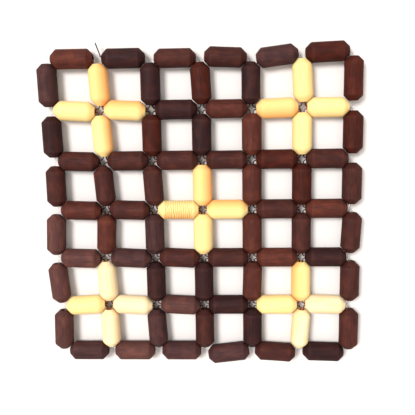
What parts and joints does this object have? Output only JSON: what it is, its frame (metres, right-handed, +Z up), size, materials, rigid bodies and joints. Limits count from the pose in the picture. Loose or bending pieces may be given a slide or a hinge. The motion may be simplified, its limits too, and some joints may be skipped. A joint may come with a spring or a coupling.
{
  "type": "drink coaster",
  "caption": "Square drink coaster: an open lattice of coned wooden beads on clear line, dark with pale crosses, that folds along its rows.",
  "frame": {"origin": "on the table under the middle of the lattice", "axes": "+Z up, +X along the rows, +Y towards the edge with the line's tail"},
  "size_m": [0.1011, 0.1038, 0.0062],
  "materials": {
    "dark_wood": "stained, satin",
    "pale_wood": "bare, smooth",
    "clear_line": "clear"
  },
  "bodies": {
    "strip_1": {"strung_line_1": "dark_wood", "line_tail": "clear_line"},
    "strip_2": {"strung_line_2": "dark_wood"},
    "strip_3": {"strung_line_3": "dark_wood"},
    "strip_4": {"strung_line_4": "dark_wood"},
    "strip_5": {"strung_line_5": "dark_wood"},
    "strip_6": {"strung_line_6": "dark_wood"},
    "row_1_bead_1": {"row_1_bead_1": "dark_wood"},
    "row_1_bead_2": {"row_1_bead_2": "dark_wood"},
    "row_1_bead_3": {"row_1_bead_3": "dark_wood"},
    "row_1_bead_4": {"row_1_bead_4": "dark_wood"},
    "row_1_bead_5": {"row_1_bead_5": "dark_wood"},
    "row_1_bead_6": {"row_1_bead_6": "dark_wood"},
    "row_2_bead_1": {"row_2_bead_1": "pale_wood"},
    "row_2_bead_2": {"row_2_bead_2": "pale_wood"},
    "row_2_bead_3": {"row_2_bead_3": "dark_wood"},
    "row_2_bead_4": {"row_2_bead_4": "dark_wood"},
    "row_2_bead_5": {"row_2_bead_5": "pale_wood"},
    "row_2_bead_6": {"row_2_bead_6": "pale_wood"},
    "row_3_bead_1": {"row_3_bead_1": "dark_wood"},
    "row_3_bead_2": {"row_3_bead_2": "dark_wood"},
    "row_3_bead_3": {"row_3_bead_3": "dark_wood"},
    "row_3_bead_4": {"row_3_bead_4": "dark_wood"},
    "row_3_bead_5": {"row_3_bead_5": "dark_wood"},
    "row_3_bead_6": {"row_3_bead_6": "dark_wood"},
    "row_4_bead_1": {"row_4_bead_1": "dark_wood"},
    "row_4_bead_2": {"row_4_bead_2": "dark_wood"},
    "row_4_bead_3": {"row_4_bead_3": "pale_wood"},
    "row_4_bead_4": {"row_4_bead_4": "pale_wood"},
    "row_4_bead_5": {"row_4_bead_5": "dark_wood"},
    "row_4_bead_6": {"row_4_bead_6": "dark_wood"},
    "row_5_bead_1": {"row_5_bead_1": "dark_wood"},
    "row_5_bead_2": {"row_5_bead_2": "dark_wood"},
    "row_5_bead_3": {"row_5_bead_3": "dark_wood"},
    "row_5_bead_4": {"row_5_bead_4": "dark_wood"},
    "row_5_bead_5": {"row_5_bead_5": "dark_wood"},
    "row_5_bead_6": {"row_5_bead_6": "dark_wood"},
    "row_6_bead_1": {"row_6_bead_1": "pale_wood"},
    "row_6_bead_2": {"row_6_bead_2": "pale_wood"},
    "row_6_bead_3": {"row_6_bead_3": "dark_wood"},
    "row_6_bead_4": {"row_6_bead_4": "dark_wood"},
    "row_6_bead_5": {"row_6_bead_5": "pale_wood"},
    "row_6_bead_6": {"row_6_bead_6": "pale_wood"},
    "row_7_bead_1": {"row_7_bead_1": "dark_wood"},
    "row_7_bead_2": {"row_7_bead_2": "dark_wood"},
    "row_7_bead_3": {"row_7_bead_3": "dark_wood"},
    "row_7_bead_4": {"row_7_bead_4": "dark_wood"},
    "row_7_bead_5": {"row_7_bead_5": "dark_wood"},
    "row_7_bead_6": {"row_7_bead_6": "dark_wood"},
    "column_2_bead_1": {"column_2_bead_1": "pale_wood"},
    "column_6_bead_1": {"column_6_bead_1": "pale_wood"},
    "column_2_bead_2": {"column_2_bead_2": "pale_wood"},
    "column_6_bead_2": {"column_6_bead_2": "pale_wood"},
    "column_4_bead_3": {"column_4_bead_3": "pale_wood"},
    "column_4_bead_4": {"column_4_bead_4": "pale_wood"},
    "column_2_bead_5": {"column_2_bead_5": "pale_wood"},
    "column_6_bead_5": {"column_6_bead_5": "pale_wood"},
    "column_2_bead_6": {"column_2_bead_6": "pale_wood"},
    "column_6_bead_6": {"column_6_bead_6": "pale_wood"}
  },
  "joints": [
    {"name": "fold_row_2", "type": "hinge", "parent": "strip_2", "child": "strip_1", "pos_m": [0, 0.03151, 0.0031], "axis": [1, 0, 0], "range_deg": [-90, 90]},
    {"name": "fold_row_3", "type": "hinge", "parent": "strip_3", "child": "strip_2", "pos_m": [0, 0.01576, 0.0031], "axis": [-1, 0, 0], "range_deg": [-90, 90]},
    {"name": "fold_row_4", "type": "hinge", "parent": "strip_3", "child": "strip_4", "pos_m": [0, 0, 0.0031], "axis": [1, 0, 0], "range_deg": [-90, 90]},
    {"name": "fold_row_5", "type": "hinge", "parent": "strip_4", "child": "strip_5", "pos_m": [0, -0.01576, 0.0031], "axis": [-1, 0, 0], "range_deg": [-90, 90]},
    {"name": "fold_row_6", "type": "hinge", "parent": "strip_5", "child": "strip_6", "pos_m": [0, -0.03151, 0.0031], "axis": [1, 0, 0], "range_deg": [-90, 90]},
    {"name": "row_1_bead_1_spin", "type": "hinge", "parent": "strip_1", "child": "row_1_bead_1", "pos_m": [-0.03951, 0.04737, 0.0031], "axis": [1, 0, 0], "continuous": true},
    {"name": "row_1_bead_2_spin", "type": "hinge", "parent": "strip_1", "child": "row_1_bead_2", "pos_m": [-0.02381, 0.04727, 0.0031], "axis": [1, 0, 0], "continuous": true},
    {"name": "row_1_bead_3_spin", "type": "hinge", "parent": "strip_1", "child": "row_1_bead_3", "pos_m": [-0.0078, 0.04707, 0.0031], "axis": [1, 0, 0], "continuous": true},
    {"name": "row_1_bead_4_spin", "type": "hinge", "parent": "strip_1", "child": "row_1_bead_4", "pos_m": [0.0078, 0.04707, 0.0031], "axis": [0.9986, -0.0523, 0], "continuous": true},
    {"name": "row_1_bead_5_spin", "type": "hinge", "parent": "strip_1", "child": "row_1_bead_5", "pos_m": [0.02341, 0.04717, 0.0031], "axis": [0.9925, 0.1219, 0], "continuous": true},
    {"name": "row_1_bead_6_spin", "type": "hinge", "parent": "strip_1", "child": "row_1_bead_6", "pos_m": [0.03851, 0.04807, 0.0031], "axis": [0.9994, 0.0349, 0], "continuous": true},
    {"name": "row_2_bead_1_spin", "type": "hinge", "parent": "strip_2", "child": "row_2_bead_1", "pos_m": [-0.03971, 0.03151, 0.0031], "axis": [0.9986, -0.0523, 0], "continuous": true},
    {"name": "row_2_bead_2_spin", "type": "hinge", "parent": "strip_2", "child": "row_2_bead_2", "pos_m": [-0.02381, 0.03151, 0.0031], "axis": [0.9986, -0.0523, 0], "continuous": true},
    {"name": "row_2_bead_3_spin", "type": "hinge", "parent": "strip_2", "child": "row_2_bead_3", "pos_m": [-0.0078, 0.03151, 0.0031], "axis": [1, 0, 0], "continuous": true},
    {"name": "row_2_bead_4_spin", "type": "hinge", "parent": "strip_2", "child": "row_2_bead_4", "pos_m": [0.0078, 0.03151, 0.0031], "axis": [1, 0, 0], "continuous": true},
    {"name": "row_2_bead_5_spin", "type": "hinge", "parent": "strip_2", "child": "row_2_bead_5", "pos_m": [0.02341, 0.03151, 0.0031], "axis": [0.9994, 0.0349, 0], "continuous": true},
    {"name": "row_2_bead_6_spin", "type": "hinge", "parent": "strip_2", "child": "row_2_bead_6", "pos_m": [0.03901, 0.03151, 0.0031], "axis": [1, 0, 0], "continuous": true},
    {"name": "row_3_bead_1_spin", "type": "hinge", "parent": "strip_3", "child": "row_3_bead_1", "pos_m": [-0.03901, 0.01576, 0.0031], "axis": [0.9994, -0.0349, 0], "continuous": true},
    {"name": "row_3_bead_2_spin", "type": "hinge", "parent": "strip_3", "child": "row_3_bead_2", "pos_m": [-0.02341, 0.01576, 0.0031], "axis": [1, 0, 0], "continuous": true},
    {"name": "row_3_bead_3_spin", "type": "hinge", "parent": "strip_3", "child": "row_3_bead_3", "pos_m": [-0.0078, 0.01576, 0.0031], "axis": [1, 0, 0], "continuous": true},
    {"name": "row_3_bead_4_spin", "type": "hinge", "parent": "strip_3", "child": "row_3_bead_4", "pos_m": [0.0078, 0.01576, 0.0031], "axis": [1, 0, 0], "continuous": true},
    {"name": "row_3_bead_5_spin", "type": "hinge", "parent": "strip_3", "child": "row_3_bead_5", "pos_m": [0.02341, 0.01576, 0.0031], "axis": [1, 0, 0], "continuous": true},
    {"name": "row_3_bead_6_spin", "type": "hinge", "parent": "strip_3", "child": "row_3_bead_6", "pos_m": [0.03901, 0.01576, 0.0031], "axis": [1, 0, 0], "continuous": true},
    {"name": "row_4_bead_1_spin", "type": "hinge", "parent": "strip_3", "child": "row_4_bead_1", "pos_m": [-0.03901, 0, 0.0031], "axis": [0.9994, -0.0349, 0], "continuous": true},
    {"name": "row_4_bead_2_spin", "type": "hinge", "parent": "strip_3", "child": "row_4_bead_2", "pos_m": [-0.02341, 0, 0.0031], "axis": [0.9994, -0.0349, 0], "continuous": true},
    {"name": "row_4_bead_3_spin", "type": "hinge", "parent": "strip_3", "child": "row_4_bead_3", "pos_m": [-0.0078, 0, 0.0031], "axis": [1, 0, 0], "continuous": true},
    {"name": "row_4_bead_4_spin", "type": "hinge", "parent": "strip_3", "child": "row_4_bead_4", "pos_m": [0.0078, 0, 0.0031], "axis": [1, 0, 0], "continuous": true},
    {"name": "row_4_bead_5_spin", "type": "hinge", "parent": "strip_3", "child": "row_4_bead_5", "pos_m": [0.02341, 0, 0.0031], "axis": [1, 0, 0], "continuous": true},
    {"name": "row_4_bead_6_spin", "type": "hinge", "parent": "strip_3", "child": "row_4_bead_6", "pos_m": [0.03901, 0, 0.0031], "axis": [1, 0, 0], "continuous": true},
    {"name": "row_5_bead_1_spin", "type": "hinge", "parent": "strip_4", "child": "row_5_bead_1", "pos_m": [-0.03981, -0.01576, 0.0031], "axis": [0.9994, -0.0349, 0], "continuous": true},
    {"name": "row_5_bead_2_spin", "type": "hinge", "parent": "strip_4", "child": "row_5_bead_2", "pos_m": [-0.02341, -0.01576, 0.0031], "axis": [0.9986, -0.0523, 0], "continuous": true},
    {"name": "row_5_bead_3_spin", "type": "hinge", "parent": "strip_4", "child": "row_5_bead_3", "pos_m": [-0.0078, -0.01576, 0.0031], "axis": [0.9986, -0.0523, 0], "continuous": true},
    {"name": "row_5_bead_4_spin", "type": "hinge", "parent": "strip_4", "child": "row_5_bead_4", "pos_m": [0.0078, -0.01576, 0.0031], "axis": [1, 0, 0], "continuous": true},
    {"name": "row_5_bead_5_spin", "type": "hinge", "parent": "strip_4", "child": "row_5_bead_5", "pos_m": [0.02341, -0.01576, 0.0031], "axis": [1, 0, 0], "continuous": true},
    {"name": "row_5_bead_6_spin", "type": "hinge", "parent": "strip_4", "child": "row_5_bead_6", "pos_m": [0.03901, -0.01576, 0.0031], "axis": [1, 0, 0], "continuous": true},
    {"name": "row_6_bead_1_spin", "type": "hinge", "parent": "strip_5", "child": "row_6_bead_1", "pos_m": [-0.03901, -0.03151, 0.0031], "axis": [0.9986, 0.0523, 0], "continuous": true},
    {"name": "row_6_bead_2_spin", "type": "hinge", "parent": "strip_5", "child": "row_6_bead_2", "pos_m": [-0.02341, -0.03151, 0.0031], "axis": [0.9986, -0.0523, 0], "continuous": true},
    {"name": "row_6_bead_3_spin", "type": "hinge", "parent": "strip_5", "child": "row_6_bead_3", "pos_m": [-0.0078, -0.03151, 0.0031], "axis": [0.9986, -0.0523, 0], "continuous": true},
    {"name": "row_6_bead_4_spin", "type": "hinge", "parent": "strip_5", "child": "row_6_bead_4", "pos_m": [0.0078, -0.03151, 0.0031], "axis": [1, 0, 0], "continuous": true},
    {"name": "row_6_bead_5_spin", "type": "hinge", "parent": "strip_5", "child": "row_6_bead_5", "pos_m": [0.02341, -0.03151, 0.0031], "axis": [1, 0, 0], "continuous": true},
    {"name": "row_6_bead_6_spin", "type": "hinge", "parent": "strip_5", "child": "row_6_bead_6", "pos_m": [0.03901, -0.03151, 0.0031], "axis": [0.9994, -0.0349, 0], "continuous": true},
    {"name": "row_7_bead_1_spin", "type": "hinge", "parent": "strip_6", "child": "row_7_bead_1", "pos_m": [-0.03861, -0.04727, 0.0031], "axis": [1, 0, 0], "continuous": true},
    {"name": "row_7_bead_2_spin", "type": "hinge", "parent": "strip_6", "child": "row_7_bead_2", "pos_m": [-0.02341, -0.04727, 0.0031], "axis": [1, 0, 0], "continuous": true},
    {"name": "row_7_bead_3_spin", "type": "hinge", "parent": "strip_6", "child": "row_7_bead_3", "pos_m": [-0.0078, -0.04727, 0.0031], "axis": [1, 0, 0], "continuous": true},
    {"name": "row_7_bead_4_spin", "type": "hinge", "parent": "strip_6", "child": "row_7_bead_4", "pos_m": [0.0078, -0.04797, 0.0031], "axis": [0.9925, 0.1219, 0], "continuous": true},
    {"name": "row_7_bead_5_spin", "type": "hinge", "parent": "strip_6", "child": "row_7_bead_5", "pos_m": [0.02281, -0.04767, 0.0031], "axis": [0.9976, -0.0698, 0], "continuous": true},
    {"name": "row_7_bead_6_spin", "type": "hinge", "parent": "strip_6", "child": "row_7_bead_6", "pos_m": [0.03851, -0.04767, 0.0031], "axis": [0.9994, -0.0349, 0], "continuous": true},
    {"name": "column_2_bead_1_spin", "type": "hinge", "parent": "strip_1", "child": "column_2_bead_1", "pos_m": [-0.03161, 0.03939, 0.0031], "axis": [-0.0523, 0.9986, 0], "continuous": true},
    {"name": "column_6_bead_1_spin", "type": "hinge", "parent": "strip_1", "child": "column_6_bead_1", "pos_m": [0.03121, 0.03989, 0.0031], "axis": [-0.0523, 0.9986, 0], "continuous": true},
    {"name": "column_2_bead_2_spin", "type": "hinge", "parent": "strip_2", "child": "column_2_bead_2", "pos_m": [-0.03121, 0.02363, 0.0031], "axis": [-0.0698, 0.9976, 0], "continuous": true},
    {"name": "column_6_bead_2_spin", "type": "hinge", "parent": "strip_2", "child": "column_6_bead_2", "pos_m": [0.03121, 0.02363, 0.0031], "axis": [0, 1, 0], "continuous": true},
    {"name": "column_4_bead_3_spin", "type": "hinge", "parent": "strip_3", "child": "column_4_bead_3", "pos_m": [0, 0.00788, 0.0031], "axis": [0, 1, 0], "continuous": true},
    {"name": "column_4_bead_4_spin", "type": "hinge", "parent": "strip_4", "child": "column_4_bead_4", "pos_m": [0, -0.00788, 0.0031], "axis": [0, 1, 0], "continuous": true},
    {"name": "column_2_bead_5_spin", "type": "hinge", "parent": "strip_5", "child": "column_2_bead_5", "pos_m": [-0.03151, -0.02313, 0.0031], "axis": [-0.0523, 0.9986, 0], "continuous": true},
    {"name": "column_6_bead_5_spin", "type": "hinge", "parent": "strip_5", "child": "column_6_bead_5", "pos_m": [0.03121, -0.02363, 0.0031], "axis": [0, 1, 0], "continuous": true},
    {"name": "column_2_bead_6_spin", "type": "hinge", "parent": "strip_6", "child": "column_2_bead_6", "pos_m": [-0.03121, -0.03939, 0.0031], "axis": [-0.0349, 0.9994, 0], "continuous": true},
    {"name": "column_6_bead_6_spin", "type": "hinge", "parent": "strip_6", "child": "column_6_bead_6", "pos_m": [0.03121, -0.03979, 0.0031], "axis": [0.0698, 0.9976, 0], "continuous": true}
  ]
}
